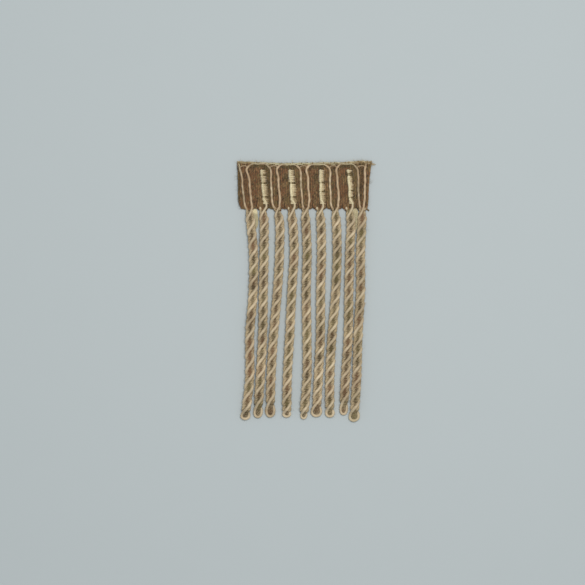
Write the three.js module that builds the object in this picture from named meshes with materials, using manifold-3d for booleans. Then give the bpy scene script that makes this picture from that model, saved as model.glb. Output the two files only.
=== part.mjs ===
// Bullion fringe trim: a woven heading with gimp lines, arches and ribbed columns on its face,
// over nine twisted cords that each end in a loop. A cut length, lying face up on a flat surface.
// +X runs along the trim, +Y from the loops to the heading's top edge, +Z out of its face.
// The origin is under the middle of the piece. All sizes are in millimetres.

import * as THREE from "three";
import { mergeVertices } from "three/addons/utils/BufferGeometryUtils.js";
import Module from "manifold-3d";

const wasm = await Module();
wasm.setup();

// Sizes of the heading, the woven tape
const TAPE_GROOVE = 1.9; // back to the bottom of the groove between two ribs
const TAPE_CREST = 2.3; // back to the crest of a rib
const RIB_PITCH = 1.5;
const HEADING_WIDTH = 77.9;
const HEADING_FOOT = 49.3; // height of its lower edge
const HEADING_ROWS = 5;

// Sizes of what lies on the heading
const SEAT_GAP = 0.3;
const GIMP_RADIUS = 0.65;
const GIMP_SIDES = 6;
const GIMP_STEP = 1.7;
const COLUMN_WIDTH = 3.3;
const COLUMN_CREST = 1.6;
const COLUMN_GROOVE = 1.1;
const COLUMN_SHOULDER = 0.55; // height of its sides, as a share of its middle
const COLUMN_TOP = 70.6;
const COLUMN_FOOT = 49.6;
const COLUMN_RIBS = 15;

// Sizes of the cords and the strip that holds their roots
const STRIP_TOP = 49.0;
const STRIP_THICK = 2.0;
const STRIP_ARCH = 48.1; // height of the scallops between two roots
const STRIP_TONGUE = 45.7; // height of the tongue at each root
const TONGUE_HALF = 2.3;
const CORD_SIDES = 6;
const CORD_STEPS = 76;
const CORD_PLY = 2.8; // middle of a cord to the flat outside of one of its two plies
const CORD_WAIST = 1.75; // middle of a cord to its side between the plies
const CORD_REST = Math.hypot(CORD_PLY, CORD_WAIST / 2); // height of its middle over the surface
const HEXAGON_HALF = Math.sin(Math.PI / 3); // half the width of a hexagon of radius 1
const ROOT_HEIGHT = 47.4;
const ROOT_SHARE = 0.6; // size of a cord's section at its root
const ROOT_SWELL = 5.5; // length over which it swells to its full size
const LOOP_ROUND = 3.0; // length of the round end of a loop
const LOOP_TURN = 4.6; // length below the last crossing in which a loop comes to lie flat
const LOOP_TIP_SHARE = 0.4; // size of its section at the very tip

// The heading's outline: its top edge by distance along the trim, its ends by height
const TOP_EDGE = [
  { x: -38.95, y: 74.9 },
  { x: -32.0, y: 74.7 },
  { x: -24.5, y: 74.3 },
  { x: -15.0, y: 73.9 },
  { x: -3.0, y: 74.0 },
  { x: 8.0, y: 74.2 },
  { x: 24.0, y: 74.5 },
  { x: 35.5, y: 75.2 },
  { x: 38.95, y: 74.9 },
];
const ENDS = [
  { y: 45.5, left: -36.0, right: 36.2 },
  { y: 48.5, left: -37.6, right: 36.7 },
  { y: 52.5, left: -38.2, right: 36.9 },
  { y: 61.0, left: -38.4, right: 37.2 },
  { y: 69.5, left: -38.7, right: 38.1 },
  { y: 75.2, left: -38.95, right: 38.95 },
];

// Where the ten gimp lines run, in five pairs: the distance along the trim at five heights
const GIMP_HEIGHTS = [71.0, 64.8, 58.4, 52.1, 48.3];
const GIMP_PAIRS = [
  { left: [-37.4, -36.2, -35.7, -35.0, -33.9], right: [-33.0, -32.0, -31.3, -30.8, -30.1] },
  { left: [-20.1, -19.3, -19.1, -18.6, -17.7], right: [-15.6, -15.1, -14.7, -14.2, -14.6] },
  { left: [-3.0, -2.2, -1.8, -1.3, -0.8], right: [1.5, 2.0, 2.3, 2.7, 2.1] },
  { left: [14.2, 14.6, 14.9, 15.1, 15.8], right: [18.7, 18.9, 19.4, 19.6, 19.2] },
  { left: [30.4, 31.1, 31.3, 31.5, 32.2], right: [35.1, 35.0, 35.0, 34.5, 33.8] },
];
const ARCH_CROWNS = [73.3, 72.9, 72.9, 73.3];
const ARCH_SHOULDER = 2.6; // how far in from its legs an arch reaches its crown
const END_LINE_TOP = 73.4;

// Where the four cream columns stand: the distance along the trim at the top, middle and foot
const COLUMNS = [
  { top: -24.3, middle: -23.5, foot: -22.5 },
  { top: -8.1, middle: -7.2, foot: -6.6 },
  { top: 9.7, middle: 9.9, foot: 10.3 },
  { top: 25.6, middle: 26.1, foot: 26.9 },
];

// The cords' routes, left to right: the distance along the trim at CORD_HEIGHTS and then at the tip
const CORD_HEIGHTS = [ROOT_HEIGHT, 42.5, 25.0, 0.0, -25.0, -50.0];
const ROUTES = [
  { x: [-31.8, -31.0, -29.9, -30.1, -31.6, -32.1, -34.3], tip: -74.2 },
  { x: [-24.1, -23.6, -23.3, -23.9, -24.1, -25.5, -27.0], tip: -73.1 },
  { x: [-15.8, -14.9, -14.4, -15.8, -17.6, -19.3, -20.0], tip: -72.8 },
  { x: [-7.7, -7.0, -6.0, -7.3, -8.4, -9.8, -10.3], tip: -72.8 },
  { x: [0.3, 0.6, 1.4, 1.0, 1.4, 1.0, -0.4], tip: -73.7 },
  { x: [8.6, 9.0, 9.5, 8.8, 8.9, 8.0, 6.7], tip: -72.5 },
  { x: [17.5, 18.1, 19.0, 18.3, 16.4, 14.9, 14.6], tip: -72.8 },
  { x: [25.6, 26.2, 26.3, 25.6, 24.9, 23.5, 22.5], tip: -71.4 },
  { x: [32.9, 33.2, 32.9, 32.5, 31.1, 30.3, 28.4], tip: -75.2 },
];

// How often a ply of each cord crosses its front, and the heights of the 1st, 5th, 9th and last time
const CROSSED_BEFORE = [0, 4, 8];
const TWISTS = [
  { crossings: 14, crossed: [38.1, 6.1, -24.8, -66.3] },
  { crossings: 14, crossed: [39.3, 8.5, -22.3, -63.2] },
  { crossings: 14, crossed: [40.7, 8.7, -21.5, -62.0] },
  { crossings: 15, crossed: [39.1, 9.3, -21.3, -66.3] },
  { crossings: 15, crossed: [39.5, 9.4, -20.5, -67.9] },
  { crossings: 15, crossed: [39.5, 11.7, -18.9, -63.8] },
  { crossings: 15, crossed: [39.7, 11.0, -20.7, -65.0] },
  { crossings: 15, crossed: [39.3, 12.4, -17.6, -61.5] },
  { crossings: 14, crossed: [37.6, 6.4, -29.1, -66.8] },
];
const CORDS = ROUTES.map((route, i) => ({ ...route, ...TWISTS[i] }));

const FINISHES = {
  brown: new THREE.MeshStandardMaterial({ color: 0x6e5032, roughness: 0.9, metalness: 0 }),
  beige: new THREE.MeshStandardMaterial({ color: 0xbea082, roughness: 0.7, metalness: 0 }),
  cream: new THREE.MeshStandardMaterial({ color: 0xcdc3a5, roughness: 0.7, metalness: 0 }),
  cord: new THREE.MeshStandardMaterial({ color: 0xb09a74, roughness: 0.75, metalness: 0 }),
};

/** The value at `at` on the straight lines through rows of [at, value] that rise in `at`. */
function along(rows, at) {
  let i = 1;
  while (i < rows.length - 1 && at > rows[i][0]) i += 1;
  const [from, to] = [rows[i - 1], rows[i]];
  const share = (at - from[0]) / (to[0] - from[0]);
  return THREE.MathUtils.lerp(from[1], to[1], share);
}

/** A geometry with each of its vertices sent through `place`, which returns a Vector3. */
function shaped(geometry, place) {
  const position = geometry.getAttribute("position");
  for (let i = 0; i < position.count; i += 1) {
    const point = place(position.getX(i), position.getY(i), position.getZ(i));
    position.setXYZ(i, point.x, point.y, point.z);
  }
  geometry.computeVertexNormals();
  return geometry;
}

/** The tape: a ribbed face, a flat back, and an outline as uneven as a cut length of weaving. */
function headingGeometry() {
  const ribs = Math.round(HEADING_WIDTH / RIB_PITCH);
  const columns = 2 * ribs;
  const top = TOP_EDGE.map(({ x, y }) => [x, y]);
  const left = ENDS.map((row) => [row.y, row.left]);
  const right = ENDS.map((row) => [row.y, row.right]);
  const box = new THREE.BoxGeometry(1, 1, 1, columns, HEADING_ROWS, 1);
  return shaped(box, (u, v, w) => {
    const column = Math.round((u + 0.5) * columns);
    const topX = (u + 0.5) * HEADING_WIDTH - HEADING_WIDTH / 2;
    const y = THREE.MathUtils.lerp(HEADING_FOOT, along(top, topX), v + 0.5);
    const x = THREE.MathUtils.lerp(along(left, y), along(right, y), u + 0.5);
    const face = column % 2 === 0 ? TAPE_GROOVE : TAPE_CREST;
    return new THREE.Vector3(x, y, w < 0 ? 0 : face);
  });
}

/** A gimp cord laid along points on the heading's face. */
function gimpGeometry(points) {
  const height = TAPE_CREST + SEAT_GAP + GIMP_RADIUS;
  const path = new THREE.CatmullRomCurve3(points.map(([x, y]) => new THREE.Vector3(x, y, height)));
  const section = new THREE.Shape();
  for (let side = 0; side < GIMP_SIDES; side += 1) {
    const angle = (2 * Math.PI * side) / GIMP_SIDES;
    const corner = [GIMP_RADIUS * Math.cos(angle), GIMP_RADIUS * Math.sin(angle)];
    if (side === 0) section.moveTo(...corner);
    else section.lineTo(...corner);
  }
  const steps = Math.ceil(path.getLength() / GIMP_STEP);
  return new THREE.ExtrudeGeometry(section, { steps, extrudePath: path });
}

/** The points of one gimp line, from its top to its foot. */
function gimpLine(xs) {
  return xs.map((x, i) => [x, GIMP_HEIGHTS[i]]);
}

/** A gimp that comes up one pair, arches over a column and goes down the next pair. */
function archPoints(up, down, crown) {
  const over = [
    [up[0] + ARCH_SHOULDER, crown],
    [(up[0] + down[0]) / 2, crown],
    [down[0] - ARCH_SHOULDER, crown],
  ];
  return [...gimpLine(up).reverse(), ...over, ...gimpLine(down)];
}

/** A cream column: a low rounded bar with ribs across it. */
function columnGeometry({ top, middle, foot }) {
  const half = (COLUMN_TOP - COLUMN_FOOT) / 2;
  const centre = [
    [COLUMN_FOOT, foot],
    [COLUMN_FOOT + half, middle],
    [COLUMN_TOP, top],
  ];
  const pitch = (2 * half) / COLUMN_RIBS;
  const side = new THREE.Shape();
  side.moveTo(COLUMN_FOOT, 0);
  side.lineTo(COLUMN_TOP, 0);
  for (let rib = COLUMN_RIBS; rib > 0; rib -= 1) {
    side.lineTo(COLUMN_FOOT + rib * pitch, COLUMN_GROOVE);
    side.lineTo(COLUMN_FOOT + (rib - 0.5) * pitch, COLUMN_CREST);
  }
  side.lineTo(COLUMN_FOOT, COLUMN_GROOVE);
  const bar = new THREE.ExtrudeGeometry(side, { depth: 1, steps: 4, bevelEnabled: false });
  const seat = TAPE_CREST + SEAT_GAP;
  return shaped(bar, (y, height, across) => {
    const offset = 2 * across - 1;
    const dome = THREE.MathUtils.lerp(1, COLUMN_SHOULDER, offset * offset);
    const x = along(centre, y) + (offset * COLUMN_WIDTH) / 2;
    return new THREE.Vector3(x, y, seat + height * dome);
  });
}

/** How often a cord's plies have crossed its front between the first crossing and `height`. */
function crossingsAbove({ crossings, crossed }, height) {
  const last = crossed[crossed.length - 1];
  if (height < last) return crossings - 1 + Math.min((last - height) / LOOP_TURN, 1) / 2;
  const counts = [...CROSSED_BEFORE, crossings - 1];
  return along(counts.map((count, i) => [-crossed[i], count]), -height);
}

/** A twisted two-ply cord from its root to its loop, resting on the surface below it. */
function cordGeometry(cord) {
  const heights = [...CORD_HEIGHTS, cord.tip];
  const route = new THREE.CatmullRomCurve3(cord.x.map((x, i) => new THREE.Vector3(x, heights[i], 0)));
  const length = route.getLength();
  const last = cord.crossed[cord.crossed.length - 1];
  const bar = new THREE.CylinderGeometry(1, 1, 1, CORD_SIDES, CORD_STEPS);
  return shaped(bar, (sideways, lengthwise, forward) => {
    const share = 0.5 - lengthwise;
    const middle = route.getPointAt(share);
    const ahead = route.getTangentAt(share);
    const rounding = Math.max(0, 1 - (length * (1 - share)) / LOOP_ROUND);
    const swell = Math.min(1, THREE.MathUtils.lerp(ROOT_SHARE, 1, (length * share) / ROOT_SWELL));
    const size = swell * Math.max(LOOP_TIP_SHARE, Math.sqrt(1 - rounding * rounding));
    const ply = (size * CORD_PLY * sideways) / HEXAGON_HALF;
    const waist = size * CORD_WAIST * forward;
    const turn = -Math.PI * crossingsAbove(cord, middle.y);
    const [sine, cosine] = [Math.sin(turn), Math.cos(turn)];
    const across = ply * sine - waist * cosine;
    const laid = THREE.MathUtils.smoothstep(last - middle.y, 0, LOOP_TURN);
    const rest = THREE.MathUtils.lerp(CORD_REST * swell, CORD_WAIST, laid);
    const reach = size * (CORD_PLY * Math.abs(cosine) + (CORD_WAIST / 2) * Math.abs(sine));
    const z = Math.max(rest, reach) + ply * cosine + waist * sine;
    return new THREE.Vector3(middle.x - across * ahead.y, middle.y + across * ahead.x, z);
  });
}

/** The narrow strip that the cords hang from, with a tongue at each root and scallops between. */
function stripGeometry() {
  const left = ENDS.map((row) => [row.y, row.left]);
  const right = ENDS.map((row) => [row.y, row.right]);
  const outline = new THREE.Shape();
  outline.moveTo(along(left, STRIP_TOP), STRIP_TOP);
  outline.lineTo(along(left, STRIP_ARCH), STRIP_ARCH);
  CORDS.forEach(({ x: [root] }, i) => {
    outline.lineTo(root - TONGUE_HALF, STRIP_TONGUE);
    outline.lineTo(root + TONGUE_HALF, STRIP_TONGUE);
    const next = CORDS[i + 1];
    if (!next) return;
    const middle = (root + next.x[0]) / 2;
    outline.quadraticCurveTo(root + TONGUE_HALF, STRIP_ARCH, middle, STRIP_ARCH);
    outline.quadraticCurveTo(next.x[0] - TONGUE_HALF, STRIP_ARCH, next.x[0] - TONGUE_HALF, STRIP_TONGUE);
  });
  outline.lineTo(along(right, STRIP_ARCH), STRIP_ARCH);
  outline.lineTo(along(right, STRIP_TOP), STRIP_TOP);
  return new THREE.ExtrudeGeometry(outline, { depth: STRIP_THICK, curveSegments: 3, bevelEnabled: false });
}

/** A geometry as a manifold solid. */
function solidOf(geometry) {
  const bare = geometry.clone();
  bare.deleteAttribute("normal");
  bare.deleteAttribute("uv");
  const merged = mergeVertices(bare);
  const vertProperties = new Float32Array(merged.getAttribute("position").array);
  const triVerts = new Uint32Array(merged.index.array);
  return new wasm.Manifold(new wasm.Mesh({ numProp: 3, vertProperties, triVerts }));
}

/** Geometries fused into one body. */
function fused(geometries) {
  const body = geometries.map(solidOf).reduce((whole, next) => whole.add(next));
  const { vertProperties, triVerts } = body.getMesh();
  const geometry = new THREE.BufferGeometry();
  geometry.setAttribute("position", new THREE.BufferAttribute(vertProperties, 3));
  geometry.setIndex(new THREE.BufferAttribute(triVerts, 1));
  geometry.computeVertexNormals();
  return geometry;
}

/** A named piece of the trim. */
function piece(name, geometry, finish) {
  const mesh = new THREE.Mesh(geometry, finish);
  mesh.name = name;
  return mesh;
}

/** The gimps on the heading: a line at each end and an arch over each column. */
function gimpPieces() {
  const group = new THREE.Group();
  const [first, last] = [GIMP_PAIRS[0], GIMP_PAIRS[GIMP_PAIRS.length - 1]];
  const leftEnd = [[first.left[0] - 0.4, END_LINE_TOP], ...gimpLine(first.left)];
  const rightEnd = [[last.right[0] + 0.5, END_LINE_TOP], ...gimpLine(last.right)];
  group.add(piece("gimp_line_left", gimpGeometry(leftEnd), FINISHES.beige));
  group.add(piece("gimp_line_right", gimpGeometry(rightEnd), FINISHES.beige));
  ARCH_CROWNS.forEach((crown, i) => {
    const points = archPoints(GIMP_PAIRS[i].right, GIMP_PAIRS[i + 1].left, crown);
    group.add(piece(`gimp_arch_${i + 1}`, gimpGeometry(points), FINISHES.beige));
  });
  return group;
}

const fringeTrim = new THREE.Group();
fringeTrim.add(piece("heading", headingGeometry(), FINISHES.brown));
fringeTrim.add(gimpPieces());
COLUMNS.forEach((column, i) => {
  fringeTrim.add(piece(`cream_column_${i + 1}`, columnGeometry(column), FINISHES.cream));
});
fringeTrim.add(piece("bullion_fringe", fused([stripGeometry(), ...CORDS.map(cordGeometry)]), FINISHES.cord));

export default fringeTrim;
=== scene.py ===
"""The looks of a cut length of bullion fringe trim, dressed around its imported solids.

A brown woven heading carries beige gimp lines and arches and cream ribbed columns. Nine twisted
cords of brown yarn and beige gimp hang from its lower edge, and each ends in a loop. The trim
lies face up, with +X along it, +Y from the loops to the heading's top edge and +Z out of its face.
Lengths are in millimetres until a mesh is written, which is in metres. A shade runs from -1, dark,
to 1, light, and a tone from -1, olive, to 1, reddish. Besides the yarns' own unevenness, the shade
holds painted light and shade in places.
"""

import logging
import math
from dataclasses import dataclass, field
from enum import Enum
from typing import Any, Sequence

import bpy
import numpy as np
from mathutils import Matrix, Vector


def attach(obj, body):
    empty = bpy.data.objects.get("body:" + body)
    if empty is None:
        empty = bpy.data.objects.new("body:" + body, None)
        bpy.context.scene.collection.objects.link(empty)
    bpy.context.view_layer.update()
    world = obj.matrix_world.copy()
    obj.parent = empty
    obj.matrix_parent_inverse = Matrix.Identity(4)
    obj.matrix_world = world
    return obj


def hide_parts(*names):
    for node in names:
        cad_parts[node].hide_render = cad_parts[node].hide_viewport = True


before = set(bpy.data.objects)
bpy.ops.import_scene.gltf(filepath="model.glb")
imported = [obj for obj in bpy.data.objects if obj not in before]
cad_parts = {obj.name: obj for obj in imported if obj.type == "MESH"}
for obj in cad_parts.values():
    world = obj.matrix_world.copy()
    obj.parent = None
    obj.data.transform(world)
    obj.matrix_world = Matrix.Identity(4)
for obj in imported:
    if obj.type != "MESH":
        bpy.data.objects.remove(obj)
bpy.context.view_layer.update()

MM = 0.001
BODY = "root"
FACE_HEIGHT = 2.32  # the heading's face over the surface
HALF_WIDTH = 38.95  # half the heading's top edge

Points = np.ndarray
Colour = tuple[float, float, float, float]
log = logging.getLogger("fringe_trim")


class Finish(Enum):
    """Names of the trim's material slots, which nothing in this script uses."""

    HEADING = "heading_weave"
    GIMP = "gimp"
    COLUMN = "cream_column"
    CORD = "cord"


def rise(where: Points | float, start: float, length: float) -> Points:
    """An even rise from 0 to 1.

    Args:
        where: the places at which it is wanted.
        start: the place at which it leaves 0.
        length: how far on it reaches 1, below zero where it runs the other way.

    Returns:
        The rise at each place.
    """
    share = np.clip((where - start) / length, 0.0, 1.0)
    return share * share * (3.0 - 2.0 * share)


def blend(low: Points | float, high: Points | float, share: Points | float) -> Points:
    """What lies a share of the way from one size to another."""
    return low + (high - low) * share


def ripple(where: Points, *waves: tuple[float, float, float]) -> Points:
    """Adds up sine waves.

    Args:
        where: the places at which they are wanted.
        waves: each wave's height, its angle for one unit of length, and its angle at 0.

    Returns:
        Their sum at each place.
    """
    return sum(height * np.sin(where * turn + start) for height, turn, start in waves)


def near(where: Points, centres: Sequence[float], width: float) -> Points:
    """How near places are to each of several centres, a column each: 1 at it and 0 well away."""
    return np.exp(-(((where[:, None] - np.asarray(centres)) / width) ** 2))


def lengths(route: Points) -> Points:
    """How far along a route each of its points lies."""
    return np.concatenate([[0.0], np.cumsum(np.linalg.norm(np.diff(route, axis=0), axis=1))])


def joined(x: Points | float, y: Points | float, z: Points | float) -> Points:
    """Points from their three places, any of which may be one number for all of them."""
    return np.stack(np.broadcast_arrays(x, y, z), axis=1).astype(float)


@dataclass(frozen=True)
class Course:
    """A size that runs smoothly through stations, such as a cord's place by its height."""

    at: Sequence[float]
    value: Sequence[float]

    def __call__(self, where: Points | float) -> Points:
        """The size at one or more places.

        Args:
            where: the places, which are clipped to the first and last station.

        Returns:
            The size at each of them.
        """
        order = np.argsort(self.at)
        at = np.asarray(self.at, float)[order]
        value = np.asarray(self.value, float)[order]
        slope = np.gradient(value, at)
        place = np.clip(np.asarray(where, float), at[0], at[-1])
        i = np.clip(np.searchsorted(at, place) - 1, 0, len(at) - 2)
        gap = at[i + 1] - at[i]
        t = (place - at[i]) / gap
        start = value[i] * (1 + 2 * t) * (1 - t) ** 2 + slope[i] * gap * t * (1 - t) ** 2
        return start + value[i + 1] * t**2 * (3 - 2 * t) + slope[i + 1] * gap * t**2 * (t - 1)


def spline(stations: Sequence[Sequence[float]] | Points, step: float) -> Points:
    """Even points on a smooth curve through stations.

    Args:
        stations: the stations, a row each.
        step: the distance between two of the points returned.

    Returns:
        The points, a row each.
    """
    rows = np.asarray(stations, float)
    run = lengths(rows)
    where = np.linspace(0.0, run[-1], max(3, int(run[-1] / step)))
    return np.stack([Course(run, column)(where) for column in rows.T], axis=1)


@dataclass
class YarnMesh:
    """Yarns laid as tubes along routes and gathered into one mesh.

    Each yarn has a UV map that runs round it from 0 to 1 and along it in millimetres, and a
    shade and a tone, which its material reads.
    """

    points: list[Points] = field(default_factory=list)
    quads: list[Points] = field(default_factory=list)
    quad_uv: list[Points] = field(default_factory=list)
    tris: list[Points] = field(default_factory=list)
    tri_uv: list[Points] = field(default_factory=list)
    shades: list[Points] = field(default_factory=list)
    tones: list[Points] = field(default_factory=list)
    quad_slots: list[Points] = field(default_factory=list)
    tri_slots: list[Points] = field(default_factory=list)
    count: int = 0
    end_reach: float = 0.5  # how far an end stands out, in radii
    fibre_radius: float = 0.04
    fibre_taper: float = 0.4
    fibre_curl: float = 0.45
    fibre_lowest: float = 0.08
    fibre_tone: float = -0.2

    def lay(
        self,
        route: Points,
        radius: float | Points,
        sides: int,
        shade: float | Points,
        tone: float | Points,
        slot: int = 0,
    ) -> None:
        """Adds one yarn.

        Args:
            route: the points of its middle, a row each.
            radius: its radius, one or one for each point.
            sides: how many sides its section has.
            shade: its shade, one or one for each point.
            tone: its tone, one or one for each point.
            slot: the number of its material.
        """
        rows = len(route)
        ahead = np.gradient(route, axis=0)
        ahead /= np.linalg.norm(ahead, axis=1, keepdims=True)
        side = np.cross(ahead, (0.0, 0.0, 1.0))
        side /= np.linalg.norm(side, axis=1, keepdims=True)
        up = np.cross(side, ahead)
        reach = np.broadcast_to(np.asarray(radius, float), rows)
        angle = np.arange(sides) * 2 * math.pi / sides
        ring = side[:, None] * np.cos(angle)[:, None] + up[:, None] * np.sin(angle)[:, None]
        tube = route[:, None] + ring * reach[:, None, None]
        first = route[0] - ahead[0] * reach[0] * self.end_reach
        last = route[-1] + ahead[-1] * reach[-1] * self.end_reach
        self.points.append(np.concatenate([tube.reshape(-1, 3), [first, last]]))
        for values, given in ((self.shades, shade), (self.tones, tone)):
            spread = np.repeat(np.broadcast_to(np.asarray(given, float), rows), sides)
            values.append(np.concatenate([spread, spread[[0, -1]]]))
        self.add_faces(lengths(route), sides, slot)
        self.count += rows * sides + 2

    def add_faces(self, length: Points, sides: int, slot: int) -> None:
        """Adds the faces of the yarn whose points were added last.

        Args:
            length: how far along the yarn each of its rings lies.
            sides: how many sides its section has.
            slot: the number of its material.
        """
        rows = len(length)
        i, j = (part.ravel() for part in np.meshgrid(np.arange(rows - 1), np.arange(sides), indexing="ij"))
        after = (j + 1) % sides
        corners = (i * sides + j, (i + 1) * sides + j, (i + 1) * sides + after, i * sides + after)
        self.quads.append(np.stack(corners, axis=1) + self.count)
        around = np.stack((j, j, j + 1, j + 1), axis=1) / sides
        along = np.stack((length[i], length[i + 1], length[i + 1], length[i]), axis=1)
        self.quad_uv.append(np.stack([around, along], axis=2))
        j = np.arange(sides)
        after = (j + 1) % sides
        last = (rows - 1) * sides
        first_fan = np.stack([np.full(sides, rows * sides), j, after], axis=1)
        last_fan = np.stack([np.full(sides, rows * sides + 1), last + after, last + j], axis=1)
        self.tris.append(np.concatenate([first_fan, last_fan]) + self.count)
        tips = np.array([[0.5, 0.0], [0.5, length[-1]]])
        self.tri_uv.append(np.repeat(tips, sides * 3, axis=0).reshape(-1, 3, 2))
        self.quad_slots.append(np.full(len(i), slot))
        self.tri_slots.append(np.full(2 * sides, slot))

    def fray(
        self, start: Points, way: Points, draws: np.random.Generator, shade: float, slot: int = 0
    ) -> None:
        """Adds one loose fibre, which curls as it leaves its yarn.

        Args:
            start: where it leaves the yarn.
            way: which way it leaves, as long as the fibre.
            draws: where its curl comes from.
            shade: its shade.
            slot: the number of its material.
        """
        share = np.linspace(0.0, 1.0, 5)[:, None]
        curl = draws.normal(0.0, self.fibre_curl * float(np.linalg.norm(way)), 3)
        route = start + way * share + curl * share**2 * np.array([1.0, 1.0, 0.5])
        route[:, 2] = np.maximum(route[:, 2], self.fibre_lowest)
        radius = self.fibre_radius * (1.0 - self.fibre_taper * share[:, 0])
        self.lay(route, radius, 3, shade, self.fibre_tone, slot)

    def object(self, name: str, materials: Sequence[bpy.types.Material]) -> bpy.types.Object:
        """Makes the mesh and its object.

        Args:
            name: the piece's name.
            materials: its materials, in the order of their numbers.

        Returns:
            The object, at the origin, with its place in its mesh.
        """
        faces = np.concatenate(self.quads).tolist() + np.concatenate(self.tris).tolist()
        mesh = bpy.data.meshes.new(name)
        mesh.from_pydata((np.concatenate(self.points) * MM).tolist(), [], faces)
        uv = np.concatenate([np.concatenate(part).ravel() for part in (self.quad_uv, self.tri_uv)])
        mesh.uv_layers.new(name="yarn").data.foreach_set("uv", uv.astype(np.float32))
        for label, values in (("shade", self.shades), ("tone", self.tones)):
            layer = mesh.attributes.new(label, "FLOAT", "POINT")
            layer.data.foreach_set("value", np.concatenate(values).astype(np.float32))
        for material in materials:
            mesh.materials.append(material)
        slots = np.concatenate([*self.quad_slots, *self.tri_slots]).astype(np.int32)
        mesh.polygons.foreach_set("material_index", slots)
        mesh.polygons.foreach_set("use_smooth", np.ones(len(faces), bool))
        mesh.update()
        made = bpy.data.objects.new(name, mesh)
        bpy.context.scene.collection.objects.link(made)
        return made


def feed(socket: bpy.types.NodeSocket, given: "Value | float | Colour") -> None:
    """Gives a socket a link or a plain value."""
    if isinstance(given, Value):
        given.tree.links.new(given.socket, socket)
    else:
        socket.default_value = given


@dataclass(frozen=True)
class Value:
    """A number, a colour or a vector in a shader. Arithmetic on a number adds Math nodes."""

    tree: bpy.types.NodeTree
    socket: bpy.types.NodeSocket

    def math(self, operation: str, *others: "Value | float") -> "Value":
        """This number put through a Math node.

        Args:
            operation: the node's operation.
            others: its other inputs, numbers or values.

        Returns:
            The node's result.
        """
        node = self.tree.nodes.new("ShaderNodeMath")
        node.operation = operation
        for socket, given in zip(node.inputs, (self, *others)):
            feed(socket, given)
        return Value(self.tree, node.outputs[0])

    def __add__(self, other: "Value | float") -> "Value":
        """The sum."""
        return self.math("ADD", other)

    def __sub__(self, other: "Value | float") -> "Value":
        """The difference."""
        return self.math("SUBTRACT", other)

    def __rsub__(self, other: float) -> "Value":
        """A number less this one."""
        return self.math("MULTIPLY", -1.0) + other

    def __mul__(self, other: "Value | float") -> "Value":
        """The product."""
        return self.math("MULTIPLY", other)

    def clamped(self) -> "Value":
        """This number kept between 0 and 1."""
        return self.math("MINIMUM", 1.0).math("MAXIMUM", 0.0)

    def wave(self) -> "Value":
        """The sine of this angle, moved to between 0 and 1."""
        return self.math("SINE") * 0.5 + 0.5

    __radd__ = __add__
    __rmul__ = __mul__


class Shader:
    """A material's nodes, with a Principled surface."""

    def __init__(self, name: str, **surface: Any) -> None:
        """Starts the material.

        Args:
            name: the material's name.
            surface: values for the surface's own sockets, with _ for a space.
        """
        self.material = bpy.data.materials.new(name)
        self.material.use_nodes = True
        self.tree = self.material.node_tree
        self.surface = self.tree.nodes["Principled BSDF"]
        for label, value in surface.items():
            feed(self.surface.inputs[label.replace("_", " ")], value)

    def node(
        self, kind: str, settings: dict[str, Any], inputs: dict[Any, Any], output: str | int = 0
    ) -> Value:
        """Adds a node.

        Args:
            kind: the node's type, without ShaderNode.
            settings: its own settings, which are set first.
            inputs: values or links for its sockets.
            output: which of its outputs is wanted.

        Returns:
            That output.
        """
        made = self.tree.nodes.new("ShaderNode" + kind)
        for label, value in settings.items():
            setattr(made, label, value)
        for label, value in inputs.items():
            feed(made.inputs[label], value)
        return Value(self.tree, made.outputs[output])

    def mix(self, share: Value | float, low: Value | Colour, high: Value | Colour) -> Value:
        """Mixes two colours, with a share of the second from 0 to 1."""
        return self.node("Mix", {"data_type": "RGBA"}, {0: share, 6: low, 7: high}, 2)

    def noise(self, place: Value, scale: float, detail: float, **others: float) -> Value:
        """An uneven value between 0 and 1 at a place."""
        return self.node("TexNoise", {}, {"Vector": place, "Scale": scale, "Detail": detail, **others})

    def parts(self, vector: Value) -> tuple[Value, Value]:
        """The first two parts of a vector.

        Args:
            vector: the vector.

        Returns:
            The two values.
        """
        split = self.tree.nodes.new("ShaderNodeSeparateXYZ")
        feed(split.inputs[0], vector)
        return Value(self.tree, split.outputs[0]), Value(self.tree, split.outputs[1])

    def attribute(self, name: str) -> Value:
        """A mesh attribute's value."""
        return self.node("Attribute", {"attribute_name": name}, {}, "Fac")

    def finish(self, colour: Value, height: Value, depth: float, roughness: Value) -> bpy.types.Material:
        """Links the surface.

        Args:
            colour: the base colour.
            height: the relief, about 0 to 1.
            depth: the relief's depth in metres.
            roughness: the surface's roughness.

        Returns:
            The material.
        """
        bump = self.node("Bump", {}, {"Height": height, "Distance": depth, "Strength": 1.0})
        for label, value in (("Base Color", colour), ("Roughness", roughness), ("Normal", bump)):
            feed(self.surface.inputs[label], value)
        return self.material


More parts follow.
